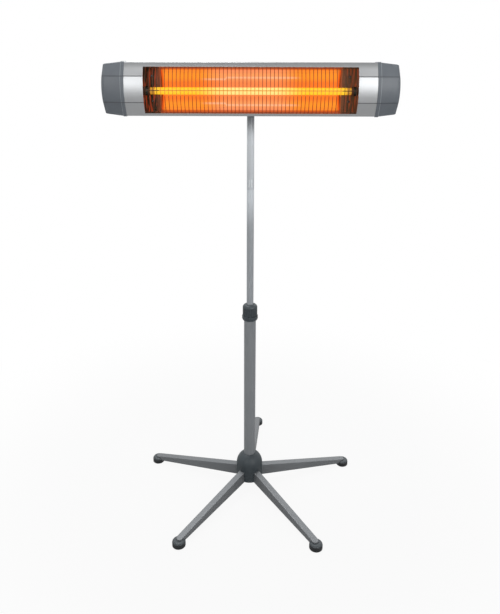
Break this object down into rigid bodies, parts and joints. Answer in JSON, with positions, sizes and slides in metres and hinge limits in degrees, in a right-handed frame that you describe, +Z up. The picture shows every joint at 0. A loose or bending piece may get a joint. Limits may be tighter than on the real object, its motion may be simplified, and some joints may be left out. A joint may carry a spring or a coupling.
{
  "type": "infrared patio heater tower",
  "caption": "Free-standing radiant heater: long tilting head with a caged quartz lamp on a telescopic mast over a star base.",
  "frame": {"origin": "on the floor, under the mast's axis", "axes": "+Z up along the mast; -Y the way the head faces; +X to the right of a person who looks at the head's front"},
  "size_m": [0.89, 0.7536, 1.5606],
  "materials": {
    "silver_paint": "satin silver powder coat",
    "slate_plastic": "fine-grained slate grey moulding",
    "satin_aluminium": "satin anodised",
    "back_panel": "satin silver-grey powder coat",
    "mirror_aluminium": "polished reflector sheet",
    "bay_steel": "heat-stained sheet",
    "quartz_glow": "glowing quartz",
    "filament": "glowing hot",
    "ceramic_white": "unglazed",
    "zinc_steel": "zinc plated",
    "cast_alloy": "cast, bead blasted",
    "grille_wire": "bright plated wire",
    "inner_plastic": "moulded",
    "black_plastic": "fine-grained",
    "gland_rubber": "matt",
    "lead_insulation": "woven glass-fibre sleeve"
  },
  "bodies": {
    "base": {"leg_1": "silver_paint", "foot_1": "slate_plastic", "leg_2": "silver_paint", "foot_2": "slate_plastic", "leg_3": "silver_paint", "foot_3": "slate_plastic", "leg_4": "silver_paint", "foot_4": "slate_plastic", "leg_5": "silver_paint", "foot_5": "slate_plastic", "leg_bolts": "zinc_steel", "hub_core": "cast_alloy", "hub_cover": "slate_plastic", "centre_bolt": "zinc_steel", "tube_bottom_plug": "cast_alloy", "lower_tube": "silver_paint", "tube_top_bush": "inner_plastic", "clamp_ring": "inner_plastic"},
    "collar": {"twist_collar": "slate_plastic"},
    "mast_slider": {"mast_guide_plug": "inner_plastic"},
    "mast": {"upper_tube": "silver_paint", "joining_spigot": "zinc_steel", "mast_arm": "silver_paint", "pivot_block": "cast_alloy", "pivot_bolt": "zinc_steel", "friction_washers": "inner_plastic"},
    "knob": {"tilt_knob": "slate_plastic"},
    "head": {"tilt_bracket": "zinc_steel", "bracket_screws": "zinc_steel", "front_shell": "satin_aluminium", "rear_shell": "back_panel", "end_cap_right": "slate_plastic", "end_cap_left": "slate_plastic", "bulkhead_right": "zinc_steel", "bulkhead_left": "zinc_steel", "end_bay_right": "bay_steel", "end_bay_left": "bay_steel", "lamp_end_right": "ceramic_white", "lamp_end_left": "ceramic_white", "lamp_clip_right": "zinc_steel", "lamp_clip_left": "zinc_steel", "cap_screws": "zinc_steel", "bay_screws": "zinc_steel", "reflector": "mirror_aluminium", "quartz_tube": "quartz_glow", "heating_filament": "filament", "grille": "grille_wire", "terminal_block": "ceramic_white", "tip_over_switch": "black_plastic", "lead_right": "lead_insulation", "lead_left": "lead_insulation", "switch_body": "black_plastic", "cable_gland": "black_plastic", "gland_seal": "gland_rubber", "gland_nut": "black_plastic", "gland_locknut": "black_plastic"},
    "rocker": {"switch_rocker": "black_plastic"}
  },
  "joints": [
    {"name": "collar_twist", "type": "hinge", "parent": "base", "child": "collar", "pos_m": [0, 0, 0.714], "axis": [0, 0, 1], "range_deg": [0, 120]},
    {"name": "mast_slide", "type": "slide", "parent": "base", "child": "mast_slider", "axis": [0, 0, 1], "range_m": [-0.335, 0.22]},
    {"name": "mast_swivel", "type": "hinge", "parent": "mast_slider", "child": "mast", "pos_m": [0, 0, 1], "axis": [0, 0, 1], "range_deg": [-180, 180]},
    {"name": "knob_turn", "type": "hinge", "parent": "mast", "child": "knob", "pos_m": [0, 0, 1.48], "axis": [1, 0, 0], "range_deg": [0, 180]},
    {"name": "head_tilt", "type": "hinge", "parent": "mast", "child": "head", "pos_m": [0, 0, 1.48], "axis": [1, 0, 0], "range_deg": [-15, 30]},
    {"name": "rocker_tip", "type": "hinge", "parent": "head", "child": "rocker", "pos_m": [0.344, -0.046, 1.5], "axis": [1, 0, 0], "range_deg": [-24, 0]}
  ]
}
